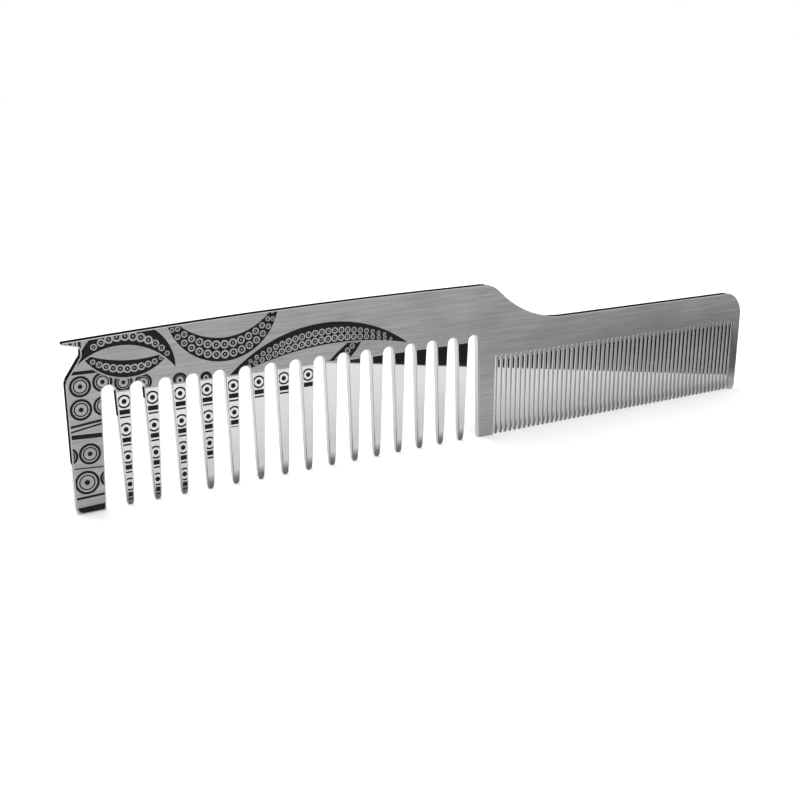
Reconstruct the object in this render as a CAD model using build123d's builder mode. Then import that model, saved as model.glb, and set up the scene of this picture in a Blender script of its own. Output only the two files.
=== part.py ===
from build123d import *
from math import asin, cos, degrees, radians, sin, tan
import os

# A flat steel barber's comb for clipper-over-comb work, standing on its tooth tips.
# X runs along the comb with the fine teeth towards +X, the decorated front faces -Y,
# and Z is up. The origin is under the middle of the comb. All sizes are millimetres.

comb_length = 203.0
comb_height = 41.1
thickness = 2.0
edge_round = 0.25

left = -comb_length / 2
right = comb_length / 2
front_y = -thickness / 2

# Back of the comb: a slight crown, an S-shaped step and a lower straight tail.
crown_radius = 1600.0
crown_x = -12.6
step_x = 5.4
step_angle = 43.5
step_outer_radius = 8.0
tail_height = 30.35
tail_corner_radius = 7.0

# Parting spur at the upper left corner, above a notch.
spur_underside = 38.05
notch_depth = 3.65
notch_top = 37.2
notch_bend = 35.4
notch_foot = 30.1
notch_radii = [0.8, 1.0]
spur_tip_radius = 0.27
notch_foot_radius = 3.0

# Wide teeth: tapered slots with round tops.
coarse_pitch = 6.35
coarse_slots = 16
coarse_first_x = left + 9.025
coarse_last_x = coarse_first_x + coarse_pitch * (coarse_slots - 1)
coarse_mouth = 4.84
coarse_wall_angle = 2.0
coarse_slot_top = 28.17
coarse_bevel_z = 26.4

# Fine teeth.
fine_pitch = 1.6
fine_slots = 56
fine_first_x = left + 111.75
fine_last_x = fine_first_x + fine_pitch * (fine_slots - 1)
fine_mouth = 0.92
fine_wall_angle = 0.22
fine_slot_top = 21.8
fine_bevel_z = 20.75
fine_edge_round = 0.14

# Corner radii at the feet of the end bar, the centre bar and the end post.
foot_radii = [1.4, 0.5, 0.35, 0.35, 1.3, 1.3]

# Ground bevels on both faces of every tooth, and the relief at its tip.
root_ledge = 0.02
coarse_tip_z = 4.5
coarse_tip_start = 1.64
coarse_tip_end = 0.84
fine_tip_z = 3.0
fine_tip_start = 1.68
fine_tip_end = 0.9

# Enamel pattern: its origin, pocket depth, bare margins and the rings in the bands.
art_origin_x = left + 8.85
fill_depth = 0.12
art_margin = edge_round + 0.08
crossing_gap = 0.35
ring_core = 0.6
ring_eye = 0.2

# Target rings: outer and inner ring widths, then inner ring and dot over outer radius.
target_outer_width = 0.56
target_inner_width = 0.3
target_inner = 0.66
target_dot = 0.22

# Motif down each decorated tooth: a ring, its dot, and bars as (drop, width).
tooth_motifs = 4
tooth_motif_pitch = 6.4
tooth_ring_drop = 1.9
tooth_ring_radius = 1.55
tooth_ring_width = 0.42
tooth_dot_radius = 0.58
tooth_bars = [(4.3, 1.1), (5.45, 0.4)]
tooth_art_ends = [1.2, 1.2, 1.2, 7.0, 14.2, 19.6, 20.4, 21.2]

# How far cutting shapes run past the surface they cut.
over = 1.0


def slot_shape(mouth, wall_angle, top):
    """Tapered slot with a round top, centred on X = 0, running down past Z = 0."""
    slope = tan(radians(wall_angle))
    radius = (mouth / 2 - slope * top) / (1 / cos(radians(wall_angle)) - slope)
    tangent_x = radius * cos(radians(wall_angle))
    tangent_z = top - radius + radius * sin(radians(wall_angle))
    foot_x = mouth / 2 + slope * over
    with BuildSketch() as shape:
        with BuildLine():
            Line((-foot_x, -over), (-tangent_x, tangent_z))
            ThreePointArc((-tangent_x, tangent_z), (0, top), (tangent_x, tangent_z))
            Polyline((tangent_x, tangent_z), (foot_x, -over), (-foot_x, -over))
        make_face()
    return shape.sketch


def row(first_x, pitch, count):
    """Locations of a row of slots or teeth along X."""
    return [Location((first_x + pitch * i, 0)) for i in range(count)]


coarse_slot_row = row(coarse_first_x, coarse_pitch, coarse_slots)
fine_slot_row = row(fine_first_x, fine_pitch, fine_slots)
coarse_slot = slot_shape(coarse_mouth, coarse_wall_angle, coarse_slot_top)
fine_slot = slot_shape(fine_mouth, fine_wall_angle, fine_slot_top)


# --- Outline of the sheet, teeth left off -----------------------------------------

step_drop = comb_height - tail_height
step_inner_radius = step_drop / (1 - cos(radians(step_angle))) - step_outer_radius
step_end_x = step_x + (step_outer_radius + step_inner_radius) * sin(radians(step_angle))
crown_sweep = degrees(asin((crown_x - left) / crown_radius))

with BuildSketch() as notch:
    with BuildLine():
        FilletPolyline(
            (left - over, spur_underside + 0.23 * over),
            (left + notch_depth, notch_top),
            (left + notch_depth, notch_bend),
            (left, notch_foot),
            radius=notch_radii,
        )
        Polyline(
            (left, notch_foot),
            (left - over, notch_foot),
            (left - over, spur_underside + 0.23 * over),
        )
    make_face()

with BuildSketch(Plane.XZ) as outline:
    with BuildLine():
        crown = CenterArc(
            (crown_x, comb_height - crown_radius), crown_radius, 90, crown_sweep
        )
        Line((crown_x, comb_height), (step_x, comb_height))
        CenterArc(
            (step_x, comb_height - step_outer_radius), step_outer_radius, 90, -step_angle
        )
        CenterArc(
            (step_end_x, tail_height + step_inner_radius),
            step_inner_radius,
            270 - step_angle,
            step_angle,
        )
        Line((step_end_x, tail_height), (right - tail_corner_radius, tail_height))
        CenterArc(
            (right - tail_corner_radius, tail_height - tail_corner_radius),
            tail_corner_radius,
            90,
            -90,
        )
        Polyline(
            (right, tail_height - tail_corner_radius), (right, 0), (left, 0), crown @ 1
        )
    make_face()
    add(notch.sketch, mode=Mode.SUBTRACT)
    with Locations(*coarse_slot_row):
        add(coarse_slot, mode=Mode.SUBTRACT)
    with Locations(*fine_slot_row):
        add(fine_slot, mode=Mode.SUBTRACT)
    with Locations(((coarse_first_x + coarse_last_x) / 2, coarse_bevel_z)):
        Rectangle(
            coarse_last_x - coarse_first_x,
            coarse_bevel_z + over,
            align=(Align.CENTER, Align.MAX),
            mode=Mode.SUBTRACT,
        )
    with Locations(((fine_first_x + fine_last_x) / 2, fine_bevel_z)):
        Rectangle(
            fine_last_x - fine_first_x,
            fine_bevel_z + over,
            align=(Align.CENTER, Align.MAX),
            mode=Mode.SUBTRACT,
        )
    for i, foot_radius in enumerate(foot_radii):
        feet = outline.vertices().group_by(Axis.Y)[0].sort_by(Axis.X)
        fillet(feet[i], foot_radius)
    left_corners = outline.vertices().group_by(Axis.X)[0].sort_by(Axis.Y)
    fillet(left_corners[1], notch_foot_radius)
    left_corners = outline.vertices().group_by(Axis.X)[0].sort_by(Axis.Y)
    fillet(left_corners[2:4], spur_tip_radius)


# --- Spine, end bar, centre bar and end post ---------------------------------------


def is_seat(edge):
    """True for an edge along X where the teeth join the spine."""
    flat = edge.bounding_box().size.Z < 0.01
    height = edge.center().Z
    return flat and min(abs(height - coarse_bevel_z), abs(height - fine_bevel_z)) < 0.01


def is_fine_arch(edge):
    """True for an edge of the round tops of the fine slots."""
    here = edge.center()
    inside = fine_first_x - fine_pitch / 2 < here.X < fine_last_x + fine_pitch / 2
    return inside and fine_bevel_z < here.Z < fine_slot_top


with BuildPart() as spine:
    with BuildSketch(Plane.XZ):
        add(outline.sketch_local)
    extrude(amount=thickness / 2, both=True)
    rims = [e for e in spine.faces().filter_by(Axis.Y).edges() if not is_seat(e)]
    fillet([e for e in rims if not is_fine_arch(e)], edge_round)
    rims = spine.faces().filter_by(Axis.Y).edges()
    fillet([e for e in rims if is_fine_arch(e)], fine_edge_round)


# --- Teeth ----------------------------------------------------------------------------


def tooth(pitch, mouth, wall_angle, root_z, tip_z, tip_start, tip_end, rounding):
    """One tapered tooth with a round tip, ground on both faces and relieved at its tip."""
    slope = tan(radians(wall_angle))
    tip_half = (pitch - mouth) / 2
    root_half = tip_half + slope * root_z - root_ledge
    root_depth = thickness / 2 - root_ledge
    tip_radius = tip_half * cos(radians(wall_angle)) / (1 - sin(radians(wall_angle)))
    round_x = tip_radius * cos(radians(wall_angle))
    round_z = tip_radius - tip_radius * sin(radians(wall_angle))
    grind = (tip_start / 2 - root_depth, tip_z - root_z)
    with BuildPart() as body:
        with BuildSketch(Plane.XZ):
            with BuildLine():
                Line((-root_half, root_z), (-round_x, round_z))
                ThreePointArc((-round_x, round_z), (0, 0), (round_x, round_z))
                Polyline((round_x, round_z), (root_half, root_z), (-root_half, root_z))
            make_face()
        extrude(amount=thickness, both=True)
        with BuildSketch(Plane.YZ):
            with BuildLine():
                Line((root_depth, root_z), (tip_start / 2, tip_z))
                TangentArc((tip_start / 2, tip_z), (tip_end / 2, 0), tangent=grind)
                Line((tip_end / 2, 0), (0, 0))
                Polyline((0, 0), (0, root_z), (root_depth, root_z))
            make_face()
            mirror(about=Plane.YZ)
        extrude(amount=pitch, both=True, mode=Mode.INTERSECT)
        seams = [
            e
            for e in body.edges()
            if e.bounding_box().size.Z < 0.001 or abs(e.center().Y) < tip_end / 4
        ]
        fillet([e for e in body.edges() if e not in seams], rounding)
    return body.part


coarse_tooth = tooth(
    coarse_pitch,
    coarse_mouth,
    coarse_wall_angle,
    coarse_bevel_z,
    coarse_tip_z,
    coarse_tip_start,
    coarse_tip_end,
    edge_round,
)
fine_tooth = tooth(
    fine_pitch,
    fine_mouth,
    fine_wall_angle,
    fine_bevel_z,
    fine_tip_z,
    fine_tip_start,
    fine_tip_end,
    fine_edge_round,
)
coarse_tooth_row = row(coarse_first_x + coarse_pitch / 2, coarse_pitch, coarse_slots - 1)
fine_tooth_row = row(fine_first_x + fine_pitch / 2, fine_pitch, fine_slots - 1)

with BuildPart() as blank:
    add(spine.part)
    with Locations(*coarse_tooth_row):
        add(coarse_tooth)
    with Locations(*fine_tooth_row):
        add(fine_tooth)


# --- Enamel pattern, drawn on the XZ plane ------------------------------------------------
# Art positions are measured from art_origin_x.


def art(across, up):
    """Point of the pattern: distance past its origin, and height."""
    return (art_origin_x + across, up)


def crescent(start, outer, inner, end):
    """Lens between two arcs that share their ends."""
    with BuildSketch() as shape:
        with BuildLine():
            ThreePointArc(art(*start), art(*outer), art(*end))
            ThreePointArc(art(*end), art(*inner), art(*start))
        make_face()
    return shape.sketch


def ring_row(start, middle, end, count, reach, radius):
    """Rings along an arc, as (point, radius): evenly spaced and smaller near its ends."""
    path = ThreePointArc(art(*start), art(*middle), art(*end))
    rings = []
    for i in range(count):
        along = reach[0] + (reach[1] - reach[0]) * i / (count - 1)
        rings.append((path @ along, radius * sin(radians(180 * along)) ** 0.7))
    return rings


def behind(pattern, band):
    """The pattern cut back to leave a bare line around the band that crosses over it."""
    with BuildSketch() as cut:
        add(pattern)
        add(offset(band, crossing_gap, mode=Mode.PRIVATE), mode=Mode.SUBTRACT)
    return cut.sketch


def ringed_band(shape, rings):
    """Black band with bare metal rings in it."""
    with BuildSketch() as band:
        add(shape)
        for place, radius in rings:
            with Locations(place):
                Circle(radius, mode=Mode.SUBTRACT)
        for place, radius in rings:
            with Locations(place):
                Circle(radius * ring_core)
                Circle(radius * ring_eye, mode=Mode.SUBTRACT)
        add(shape, mode=Mode.INTERSECT)
    return band.sketch


def target_rings(rings):
    """Black rings on bare metal: a broad outer ring, a thin one inside it and a dot."""
    with BuildSketch() as field:
        for across, up, radius in rings:
            with Locations(art(across, up)):
                Circle(radius)
                Circle(radius - target_outer_width, mode=Mode.SUBTRACT)
        for across, up, radius in rings:
            with Locations(art(across, up)):
                Circle(radius * target_inner)
                Circle(radius * target_inner - target_inner_width, mode=Mode.SUBTRACT)
                Circle(radius * target_dot)
    return field.sketch


def stripes(rows):
    """Black bars across the pattern, as (left, right, middle height, width, tilt)."""
    with BuildSketch() as bars:
        for from_x, to_x, up, width, tilt in rows:
            with Locations(art((from_x + to_x) / 2, up)):
                Rectangle(to_x - from_x, width, rotation=tilt)
    return bars.sketch


upper_arch = crescent((-6.2, 33.4), (4.5, 41.6), (4.2, 36.7), (15.4, 30.4))
lower_bowl = crescent((-5.4, 36.0), (5.2, 29.5), (5.6, 33.2), (14.4, 34.2))
hanging = crescent((13.4, 43.5), (26.6, 30.2), (26.6, 35.7), (40.8, 43.5))
long_wave = crescent((26.6, 25.4), (52.0, 36.3), (53.0, 31.0), (75.4, 28.8))
branch = crescent((51.2, 24.6), (59.4, 27.2), (57.2, 29.8), (63.4, 33.4))

arch_rings = ring_row((-6.2, 33.4), (4.4, 38.6), (15.4, 30.4), 11, (0.2, 0.86), 1.05)
bowl_rings = ring_row((-5.4, 36.0), (5.4, 31.35), (14.4, 34.2), 11, (0.16, 0.88), 0.95)
hanging_rings = ring_row((13.4, 43.5), (26.7, 34.1), (40.8, 43.5), 15, (0.1, 0.9), 1.0)
hanging_rings += ring_row((13.4, 43.5), (26.7, 31.8), (40.8, 43.5), 15, (0.13, 0.87), 1.0)
wave_rings = ring_row((26.6, 25.4), (52.8, 32.2), (75.4, 28.8), 24, (0.1, 0.9), 0.92)
wave_rings += ring_row((26.6, 25.4), (52.4, 34.1), (75.4, 28.8), 22, (0.15, 0.86), 0.85)
branch_rings = ring_row((51.2, 24.6), (58.2, 28.5), (63.4, 33.4), 8, (0.12, 0.88), 0.75)

root_targets = target_rings(
    [
        (-5.8, 28.8, 2.35),
        (-1.0, 29.2, 2.2),
        (3.5, 28.5, 2.05),
        (7.9, 27.9, 1.95),
        (16.2, 27.2, 1.75),
        (22.3, 27.0, 1.4),
    ]
)
end_bar_targets = target_rings(
    [
        (-6.0, 23.7, 2.4),
        (-1.2, 23.9, 2.2),
        (-9.4, 13.6, 2.0),
        (-4.9, 13.6, 2.4),
        (-6.0, 7.2, 2.7),
        (-1.25, 7.5, 1.95),
    ]
)
end_bar_stripes = stripes(
    [
        (-9, 4.6, 31.75, 0.75, -1),
        (-9, 0, 20.5, 0.55, 6),
        (-9, 0, 19.6, 0.4, 9),
        (-9, 0, 17.6, 1.0, -3),
        (-9, 0, 10.4, 0.3, -4),
        (-9, 0, 3.9, 0.55, 2),
        (-9, 0, 0.9, 1.7, 2),
    ]
)
spur_stripes = stripes(
    [
        (-8.3, -8.0, 38.5, 3, 0),
        (-7.5, -6.8, 38.5, 3, 0),
        (-6.2, -5.9, 38.5, 3, 0),
        (-5.5, -4.9, 38.5, 3.2, 0),
    ]
)

spine_fills = {
    "fill_upper_arch": ringed_band(upper_arch, arch_rings),
    "fill_lower_bowl": behind(ringed_band(lower_bowl, bowl_rings), upper_arch),
    "fill_hanging_band": ringed_band(hanging, hanging_rings),
    "fill_long_wave": ringed_band(long_wave, wave_rings),
    "fill_branch": behind(ringed_band(branch, branch_rings), long_wave),
    "fill_root_rings": behind(root_targets, lower_bowl),
    "fill_end_bar_rings": end_bar_targets,
    "fill_end_bar_stripes": behind(end_bar_stripes, lower_bowl),
    "fill_spur_stripes": behind(spur_stripes, upper_arch),
}

with BuildSketch() as art_zone:
    with Locations((left + art_margin, art_margin)):
        Rectangle(comb_length / 2, comb_height, align=(Align.MIN, Align.MIN))
    with Locations((crown_x, comb_height - crown_radius)):
        Circle(crown_radius - art_margin, mode=Mode.INTERSECT)
    add(offset(notch.sketch, art_margin, mode=Mode.PRIVATE), mode=Mode.SUBTRACT)
    with Locations(*coarse_slot_row):
        add(
            slot_shape(
                coarse_mouth + 2 * art_margin,
                coarse_wall_angle,
                coarse_slot_top + art_margin,
            ),
            mode=Mode.SUBTRACT,
        )
    with Locations((coarse_first_x, coarse_bevel_z + art_margin)):
        Rectangle(
            coarse_last_x - coarse_first_x,
            coarse_bevel_z + over,
            align=(Align.MIN, Align.MAX),
            mode=Mode.SUBTRACT,
        )
    for i in range(2):
        bar_feet = art_zone.vertices().group_by(Axis.Y)[0].sort_by(Axis.X)
        fillet(bar_feet[i], foot_radii[i])


# --- Enamel fills and their pockets -----------------------------------------------------------


def flat_layer(pattern, inner_y, outer_y):
    """The pattern within the flat front faces, between two depths."""
    with BuildPart() as layer:
        with BuildSketch(Plane.XZ.offset(-inner_y)):
            add(pattern)
            add(art_zone.sketch, mode=Mode.INTERSECT)
        extrude(amount=inner_y - outer_y)
    return layer.part


def tooth_pocket(lowest):
    """Rings and bars down the front of one wide tooth, as deep as the enamel."""
    slope = tan(radians(coarse_wall_angle))
    foot_half = (coarse_pitch - coarse_mouth) / 2 - art_margin
    top = coarse_bevel_z - art_margin
    with BuildPart() as pocket:
        with BuildSketch(Plane.XZ):
            for i in range(tooth_motifs):
                up = top - tooth_motif_pitch * i
                with Locations((0, up - tooth_ring_drop)):
                    Circle(tooth_ring_radius)
                    Circle(tooth_ring_radius - tooth_ring_width, mode=Mode.SUBTRACT)
                    Circle(tooth_dot_radius)
                for drop, width in tooth_bars:
                    with Locations((0, up - drop)):
                        Rectangle(coarse_pitch, width)
            with BuildLine(mode=Mode.PRIVATE) as flat:
                Polyline(
                    (-foot_half - slope * lowest, lowest),
                    (foot_half + slope * lowest, lowest),
                    (foot_half + slope * top, top),
                    (-foot_half - slope * top, top),
                    close=True,
                )
            make_face(flat.edges(), mode=Mode.INTERSECT)
        extrude(amount=thickness)
        with Locations((0, fill_depth, 0)):
            add(coarse_tooth, mode=Mode.SUBTRACT)
    return pocket.part


fills = {}
pockets = []
for name, pattern in spine_fills.items():
    fills[name] = flat_layer(pattern, front_y + fill_depth, front_y)
    pockets.append(flat_layer(pattern, front_y + fill_depth, front_y - over))
for i, lowest in enumerate(tooth_art_ends):
    place = coarse_tooth_row[i]
    pocket = tooth_pocket(lowest)
    fills[f"fill_tooth_{i + 1}"] = place * (pocket & coarse_tooth)
    pockets.append(place * pocket)

with BuildPart() as comb_plate:
    add(blank.part)
    add(pockets, mode=Mode.SUBTRACT)

os.makedirs("parts", exist_ok=True)
comb_plate.part.label = "comb_plate"
export_step(comb_plate.part, "parts/comb_plate.step")
for name, fill in fills.items():
    fill.label = name
    export_step(fill, f"parts/{name}.step")
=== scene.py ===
from math import radians

import bpy
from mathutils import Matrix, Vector


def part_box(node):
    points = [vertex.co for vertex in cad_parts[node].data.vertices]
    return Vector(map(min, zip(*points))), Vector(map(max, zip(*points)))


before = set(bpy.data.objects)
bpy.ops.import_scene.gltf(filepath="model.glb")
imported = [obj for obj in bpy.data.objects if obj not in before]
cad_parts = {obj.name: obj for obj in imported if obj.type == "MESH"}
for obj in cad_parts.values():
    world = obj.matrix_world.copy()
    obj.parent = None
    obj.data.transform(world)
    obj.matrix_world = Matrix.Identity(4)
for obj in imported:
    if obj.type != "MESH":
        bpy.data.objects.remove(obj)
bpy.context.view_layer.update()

MM = 0.001

# Zones of the comb in millimetres: the rows of teeth and the tops of their bevels.
COMB_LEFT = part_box("comb_plate")[0][0] / MM
COARSE_START = COMB_LEFT + 9.025
COARSE_ZONE = (COARSE_START, COARSE_START + 95.25)
COARSE_BEVEL = 26.4
FINE_START = COMB_LEFT + 111.75
FINE_ZONE = (FINE_START, FINE_START + 88.0)
FINE_BEVEL = 20.75

# Brushing runs nearly along the comb: its tilt in degrees, and that of the scratches.
BRUSH_TILT = -6.0
SCRATCH_TILT = -7.5
SCRATCH_LEVEL = (0.66, 0.74)

# Greys of the metal: lowest and highest reflectance of each finish. WALL_TONE is a factor
# on the polished grey.
BRUSHED_TONE = (0.24, 0.385)
POLISHED_TONE = (0.52, 0.57)
WALL_TONE = 0.88

# Greys chosen to suit the photograph, where the metal's own finish doesn't explain
# them: rounded edges off the teeth that face up or left, the tips of the teeth, and the
# teeth's rounded edges. The heights are where the last two fade, in millimetres.
# Painted highlight: grey of the rounded edges off the teeth that face up.
RIM_HIGHLIGHT_TONE = 0.8
# Painted dark reflection: grey of the rounded edges off the teeth that face left.
RIM_DARK_REFLECTION_TONE = 0.22
# Painted dark reflection on the tips of the teeth: this grey, fading out over the heights on
# the next line.
TIP_DARK_REFLECTION_TONE = 0.15
TIP_DARK_REFLECTION_HEIGHTS = (1.6, 3.8)
# Painted dark reflection on the teeth's rounded edges: greys that get darker towards the tips,
# over the heights on the next line.
EDGE_DARK_REFLECTION_TONE = (0.2, 0.42)
EDGE_DARK_REFLECTION_HEIGHTS = (3.5, 8.5)

# Roughness of the metal. The brushed one falls as the streaks get lighter.
BRUSHED_ROUGHNESS = (0.42, 0.32)
POLISHED_ROUGHNESS = (0.015, 0.035)
TIP_ROUGHNESS = 0.25

ENAMEL_TONE = (0.003, 0.007)
ENAMEL_WEAR = 0.010
ENAMEL_ROUGHNESS = (0.42, 0.58)
ENAMEL_SPECULAR = 0.12

# The camera: lens in millimetres, place in metres from the comb's left end, and how far
# it looks down and turns right, in degrees.
LENS = 48.32
CAMERA_OFFSET = (-0.05105, -0.22432, 0.08974)
LOOK_DOWN = 16.22
TURN_RIGHT = 30.80

# Light levels of the surroundings.
WORLD_FILL = 1.25
WORLD_FRONT = 0.9
WORLD_BACK = 0.02

FLOOR_REACH = 6.0
CARD_Z = 0.0002
FRONT_CARD = [(-0.400, -0.3825), (0.030, -0.1090), (0.500, 0.0), (0.450, 0.2338)]
SIDE_CARD = [
    (-0.109, 0.012),
    (-0.109, 0.040),
    (-0.1065, 0.070),
    (-0.1045, 0.100),
    (-0.1045, 1.5),
    (-1.5, 1.5),
    (-1.5, 0.012),
]


# --- Small helpers for node materials ------------------------------------------------


def new_material(name):
    """A node material with its tree and its Principled shader."""
    material = bpy.data.materials.new(name)
    material.use_nodes = True
    tree = material.node_tree
    return material, tree, tree.nodes["Principled BSDF"]


def link(tree, source, target):
    tree.links.new(source, target)


def feed(tree, value, socket):
    """Set a socket from a number, or link another socket to it."""
    if isinstance(value, (int, float)):
        socket.default_value = value
    else:
        link(tree, value, socket)


def math_node(tree, operation, a, b=0.0):
    """Math node whose inputs are numbers or sockets; returns its output."""
    node = tree.nodes.new("ShaderNodeMath")
    node.operation = operation
    feed(tree, a, node.inputs[0])
    feed(tree, b, node.inputs[1])
    return node.outputs[0]


def multiply(tree, a, b):
    return math_node(tree, "MULTIPLY", a, b)


def map_range(tree, value, from_min, from_max, to_min, to_max):
    node = tree.nodes.new("ShaderNodeMapRange")
    link(tree, value, node.inputs["Value"])
    node.inputs["From Min"].default_value = from_min
    node.inputs["From Max"].default_value = from_max
    node.inputs["To Min"].default_value = to_min
    node.inputs["To Max"].default_value = to_max
    return node.outputs["Result"]


def inside(tree, value, low, high, soft=0.02):
    """1 where value is between low and high, fading over a short width."""
    rise = map_range(tree, value, low - soft, low + soft, 0.0, 1.0)
    fall = map_range(tree, value, high - soft, high + soft, 1.0, 0.0)
    return multiply(tree, rise, fall)


def mix_value(tree, factor, a, b):
    """a where factor is 0, b where it is 1."""
    node = tree.nodes.new("ShaderNodeMix")
    node.data_type = "FLOAT"
    link(tree, factor, node.inputs[0])
    feed(tree, a, node.inputs[2])
    feed(tree, b, node.inputs[3])
    return node.outputs[0]


def millimetres(tree):
    """Object coordinates in millimetres, as a vector and split into x, y and z."""
    coordinates = tree.nodes.new("ShaderNodeTexCoord")
    scale = tree.nodes.new("ShaderNodeVectorMath")
    scale.operation = "SCALE"
    scale.inputs["Scale"].default_value = 1 / MM
    link(tree, coordinates.outputs["Object"], scale.inputs[0])
    split = tree.nodes.new("ShaderNodeSeparateXYZ")
    link(tree, scale.outputs[0], split.inputs[0])
    return scale.outputs[0], split


def noise(tree, vector, stretch, tilt=0.0, detail=3.0, scale=1.0):
    """Noise value, with the pattern stretched and tilted in the plane of the comb."""
    mapping = tree.nodes.new("ShaderNodeMapping")
    mapping.inputs["Rotation"].default_value = (0, radians(tilt), 0)
    mapping.inputs["Scale"].default_value = stretch
    link(tree, vector, mapping.inputs["Vector"])
    texture = tree.nodes.new("ShaderNodeTexNoise")
    texture.inputs["Scale"].default_value = scale
    texture.inputs["Detail"].default_value = detail
    link(tree, mapping.outputs[0], texture.inputs["Vector"])
    return texture.outputs["Fac"]


def grey(tree, tone, socket):
    """Feed one value to all three channels of a colour socket."""
    colour = tree.nodes.new("ShaderNodeCombineColor")
    for channel in range(3):
        link(tree, tone, colour.inputs[channel])
    link(tree, colour.outputs[0], socket)


def bump(tree, shader, height, strength, distance):
    node = tree.nodes.new("ShaderNodeBump")
    node.inputs["Strength"].default_value = strength
    node.inputs["Distance"].default_value = distance
    link(tree, height, node.inputs["Height"])
    link(tree, node.outputs[0], shader.inputs["Normal"])


# --- Materials ---------------------------------------------------------------------------


def face_normal(tree):
    """True normal, split into x, y and z."""
    geometry = tree.nodes.new("ShaderNodeNewGeometry")
    normal = tree.nodes.new("ShaderNodeSeparateXYZ")
    link(tree, geometry.outputs["True Normal"], normal.inputs[0])
    return normal.outputs


def tooth_zone(tree, x, z, zone, bevel):
    """1 within one row of teeth, below the top of its bevels."""
    below = map_range(tree, z, bevel - 0.03, bevel + 0.03, 1.0, 0.0)
    return multiply(tree, inside(tree, x, *zone), below)


def brushing(tree, vector, brushed):
    """Fine streaks with broader bands, and a few deep scratches on the brushed faces."""
    lines = noise(tree, vector, (0.07, 1.0, 3.2), BRUSH_TILT, 4.0)
    bands = noise(tree, vector, (0.03, 1.0, 0.9), BRUSH_TILT)
    streaks = math_node(tree, "ADD", multiply(tree, lines, 0.7), multiply(tree, bands, 0.3))
    scratches = noise(tree, vector, (0.09, 1.0, 9.0), SCRATCH_TILT, 2.0)
    scratches = map_range(tree, scratches, *SCRATCH_LEVEL, 0.0, 1.0)
    return streaks, multiply(tree, scratches, brushed)


def steel_tone(tree, masks, streaks, scratches, smudges):
    """Grey of the metal: brushed, polished, and the painted highlight and painted dark
    reflections on edges and tips.
    """
    tone = map_range(tree, streaks, 0.3, 0.7, *BRUSHED_TONE)
    tone = math_node(tree, "SUBTRACT", tone, multiply(tree, scratches, 0.08))
    tone = math_node(tree, "ADD", tone, map_range(tree, smudges, 0.35, 0.65, -0.02, 0.02))
    polished = map_range(tree, smudges, 0.3, 0.7, *POLISHED_TONE)
    wall = map_range(tree, masks["facing"], 0.05, 0.3, WALL_TONE, 1.0)
    polished = multiply(tree, polished, wall)
    # Painted highlight on rounded edges off the teeth that face up.
    polished = mix_value(tree, masks["rim highlight"], polished, RIM_HIGHLIGHT_TONE)
    # Painted dark reflection on rounded edges off the teeth that face left.
    polished = mix_value(tree, masks["rim dark reflection"], polished, RIM_DARK_REFLECTION_TONE)
    # Painted dark reflection on the tips of the teeth.
    polished = mix_value(tree, masks["tip"], polished, TIP_DARK_REFLECTION_TONE)
    tone = mix_value(tree, masks["brushed"], polished, tone)
    # Painted dark reflection on the teeth's rounded edges, darker towards the tips.
    edge_dark_reflection = map_range(tree, masks["z"], *EDGE_DARK_REFLECTION_HEIGHTS, *EDGE_DARK_REFLECTION_TONE)
    return mix_value(tree, masks["edge"], tone, edge_dark_reflection)


def steel_masks(tree, x, z):
    """Where the comb is brushed, and where its tips and rounded edges are, for the painted
    highlight and painted dark reflections.

    The two rims, a painted highlight on those facing up and a painted dark reflection on those
    facing left, go by the way an edge faces in the comb's own frame, not by the camera.
    """
    normal = face_normal(tree)
    facing = math_node(tree, "ABSOLUTE", normal[1])
    flat = map_range(tree, facing, 0.985, 0.995, 0.0, 1.0)
    coarse = tooth_zone(tree, x, z, COARSE_ZONE, COARSE_BEVEL)
    fine = tooth_zone(tree, x, z, FINE_ZONE, FINE_BEVEL)
    teeth = math_node(tree, "MAXIMUM", coarse, fine)
    # Where the tips take the painted dark reflection; the same mask sets their roughness.
    tip = multiply(tree, map_range(tree, z, *TIP_DARK_REFLECTION_HEIGHTS, 1.0, 0.0), teeth)
    tip = multiply(tree, tip, map_range(tree, facing, 0.45, 0.8, 0.0, 1.0))
    rounded = inside(tree, facing, 0.12, 0.975, 0.01)
    elsewhere = math_node(tree, "SUBTRACT", 1.0, teeth)
    rim = multiply(tree, rounded, elsewhere)
    # Rims facing up take the painted highlight.
    level = map_range(tree, math_node(tree, "ABSOLUTE", normal[0]), 0.2, 0.4, 1.0, 0.0)
    upward = multiply(tree, map_range(tree, normal[2], 0.05, 0.2, 0.0, 1.0), level)
    # Rims facing left take the painted dark reflection.
    leftward = map_range(tree, normal[0], -0.5, -0.2, 1.0, 0.0)
    return {
        "z": z,
        "facing": facing,
        "brushed": multiply(tree, flat, elsewhere),
        "tip": tip,
        "edge": multiply(tree, rounded, teeth),
        "rim highlight": multiply(tree, rim, upward),
        "rim dark reflection": multiply(tree, rim, leftward),
    }


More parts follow.
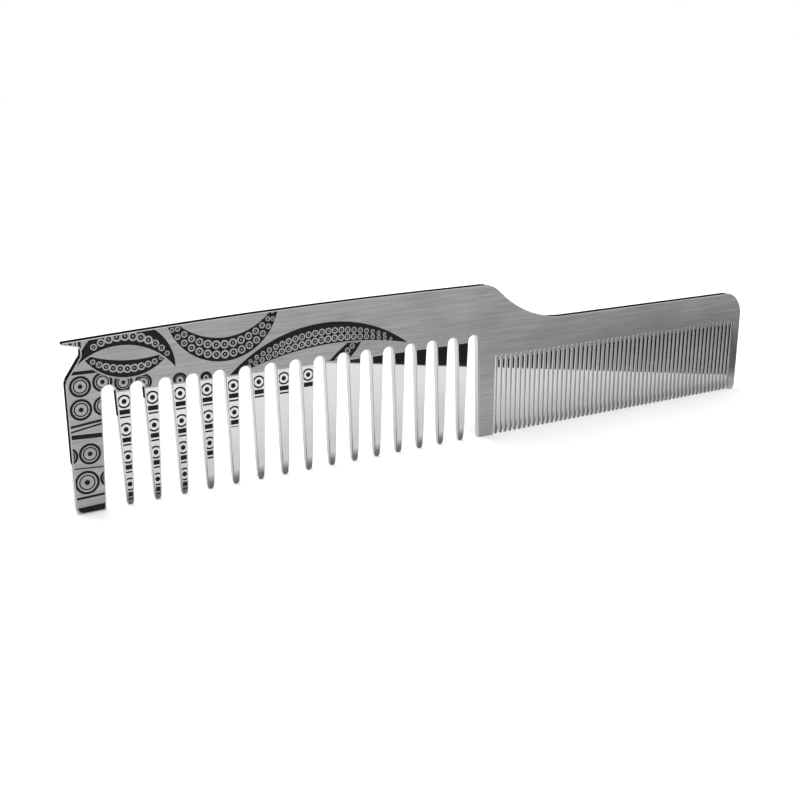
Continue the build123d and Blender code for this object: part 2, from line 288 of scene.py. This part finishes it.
def steel_material():
    """Stainless sheet: brushed along X on its flat faces, polished where it was ground, with
    painted highlight and painted dark reflections on its rounded edges and tips.
    """
    material, tree, shader = new_material("comb_steel")
    vector, place = millimetres(tree)
    masks = steel_masks(tree, place.outputs[0], place.outputs[2])
    brushed = masks["brushed"]
    streaks, scratches = brushing(tree, vector, brushed)
    smudges = noise(tree, vector, (1.0, 1.0, 1.6), 20.0, 4.0, 0.07)
    tone = steel_tone(tree, masks, streaks, scratches, smudges)
    grey(tree, tone, shader.inputs["Base Color"])

    brushed_rough = map_range(tree, streaks, 0.3, 0.7, *BRUSHED_ROUGHNESS)
    polished_rough = map_range(tree, smudges, 0.35, 0.65, *POLISHED_ROUGHNESS)
    polished_rough = mix_value(tree, masks["tip"], polished_rough, TIP_ROUGHNESS)
    roughness = mix_value(tree, brushed, polished_rough, brushed_rough)
    link(tree, roughness, shader.inputs["Roughness"])
    shader.inputs["Metallic"].default_value = 1.0

    grooves = multiply(tree, scratches, 0.25)
    height = math_node(tree, "SUBTRACT", multiply(tree, streaks, brushed), grooves)
    bump(tree, shader, height, 0.35, 0.00002)
    return material


def enamel_material():
    """Black fill in the etched pockets, satin, slightly uneven where it was wiped level."""
    material, tree, shader = new_material("comb_enamel")
    vector, _ = millimetres(tree)
    mottle = noise(tree, vector, (1, 1, 1), 0.0, 4.0, 1.4)
    wiped = noise(tree, vector, (0.12, 1.0, 6.0), BRUSH_TILT)
    dark = map_range(tree, mottle, 0.35, 0.65, *ENAMEL_TONE)
    worn = map_range(tree, wiped, 0.55, 0.75, 0.0, ENAMEL_WEAR)
    grey(tree, math_node(tree, "ADD", dark, worn), shader.inputs["Base Color"])
    roughness = map_range(tree, mottle, 0.3, 0.7, *ENAMEL_ROUGHNESS)
    link(tree, roughness, shader.inputs["Roughness"])
    shader.inputs["Specular IOR Level"].default_value = ENAMEL_SPECULAR
    bump(tree, shader, wiped, 0.25, 0.00003)
    return material


def matt_material(name, tone, roughness):
    """Plain matt sheet for the stage."""
    material, _, shader = new_material(name)
    shader.inputs["Base Color"].default_value = (tone, tone, tone, 1)
    shader.inputs["Roughness"].default_value = roughness
    shader.inputs["Specular IOR Level"].default_value = 0.0
    return material


def dress_nodes():
    """Give every CAD node its procedural material."""
    steel = steel_material()
    enamel = enamel_material()
    for name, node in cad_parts.items():
        for slot in node.material_slots:
            slot.material = steel if name == "comb_plate" else enamel


# --- Studio ----------------------------------------------------------------------------------


def stage_sheet(name, outline, z, material):
    """One flat, level stage polygon."""
    mesh = bpy.data.meshes.new(name)
    corners = [(x, y, z) for x, y in outline]
    mesh.from_pydata(corners, [], [list(range(len(corners)))])
    mesh.materials.append(material)
    piece = bpy.data.objects.new(name, mesh)
    bpy.context.scene.collection.objects.link(piece)
    return piece


def reflection_card(name, outline, material):
    """A card that only shows in the metal: unseen by the camera, and casting no shade."""
    piece = stage_sheet(name, outline, CARD_Z, material)
    piece.visible_camera = False
    piece.visible_diffuse = False
    piece.visible_shadow = False
    piece.visible_transmission = False


def build_stage():
    """White floor, and two black cards whose edges show in the polished metal."""
    reach = FLOOR_REACH
    square = [(-reach, -reach), (reach, -reach), (reach, reach), (-reach, reach)]
    stage_sheet("floor", square, 0, matt_material("floor_paper", 0.86, 0.9))
    black = matt_material("black_card", 0.016, 1.0)
    reflection_card("front_card", FRONT_CARD, black)
    reflection_card("side_card", SIDE_CARD, black)


def build_world():
    """White to the camera; in reflections, light in front of the comb and dark behind."""
    world = bpy.data.worlds.new("studio_world")
    world.use_nodes = True
    tree = world.node_tree
    background = tree.nodes["Background"]
    path = tree.nodes.new("ShaderNodeLightPath")
    coordinates = tree.nodes.new("ShaderNodeTexCoord")
    direction = tree.nodes.new("ShaderNodeSeparateXYZ")
    link(tree, coordinates.outputs["Generated"], direction.inputs[0])
    glossy = map_range(tree, direction.outputs[1], -0.5, -0.4, WORLD_FRONT, WORLD_BACK)
    level = mix_value(tree, path.outputs["Is Glossy Ray"], WORLD_FILL, glossy)
    level = mix_value(tree, path.outputs["Is Camera Ray"], level, 1.0)
    link(tree, level, background.inputs["Strength"])
    background.inputs["Color"].default_value = (1, 1, 1, 1)
    bpy.context.scene.world = world


def area_light(name, place, target, size, power):
    """Soft box at a place, turned towards a target, and not mirrored in the metal."""
    data = bpy.data.lights.new(name, "AREA")
    data.shape = "RECTANGLE"
    data.size, data.size_y = size
    data.energy = power
    light = bpy.data.objects.new(name, data)
    light.location = place
    aim = Vector(target) - Vector(place)
    light.rotation_euler = aim.to_track_quat("-Z", "Y").to_euler()
    light.visible_glossy = False
    bpy.context.scene.collection.objects.link(light)


def build_lights():
    area_light("back_box", (-0.25, 0.75, 0.9), (0, 0, 0), (0.9, 0.6), 5.0)
    area_light("top_box", (-0.3, -0.5, 1.2), (0, 0, 0.02), (0.8, 0.5), 3.0)


def build_camera():
    """The photograph's viewpoint: left of the comb, a little above it, turned right."""
    data = bpy.data.cameras.new("camera")
    data.lens = LENS
    data.sensor_width = 36.0
    data.clip_start = 0.01
    camera = bpy.data.objects.new("camera", data)
    aside, back, height = CAMERA_OFFSET
    camera.location = (COMB_LEFT * MM + aside, back, height)
    camera.rotation_euler = (radians(90 - LOOK_DOWN), 0, radians(-TURN_RIGHT))
    bpy.context.scene.collection.objects.link(camera)
    bpy.context.scene.camera = camera


build_camera()
build_stage()
build_world()
build_lights()
dress_nodes()
bpy.context.scene.view_settings.view_transform = "Standard"
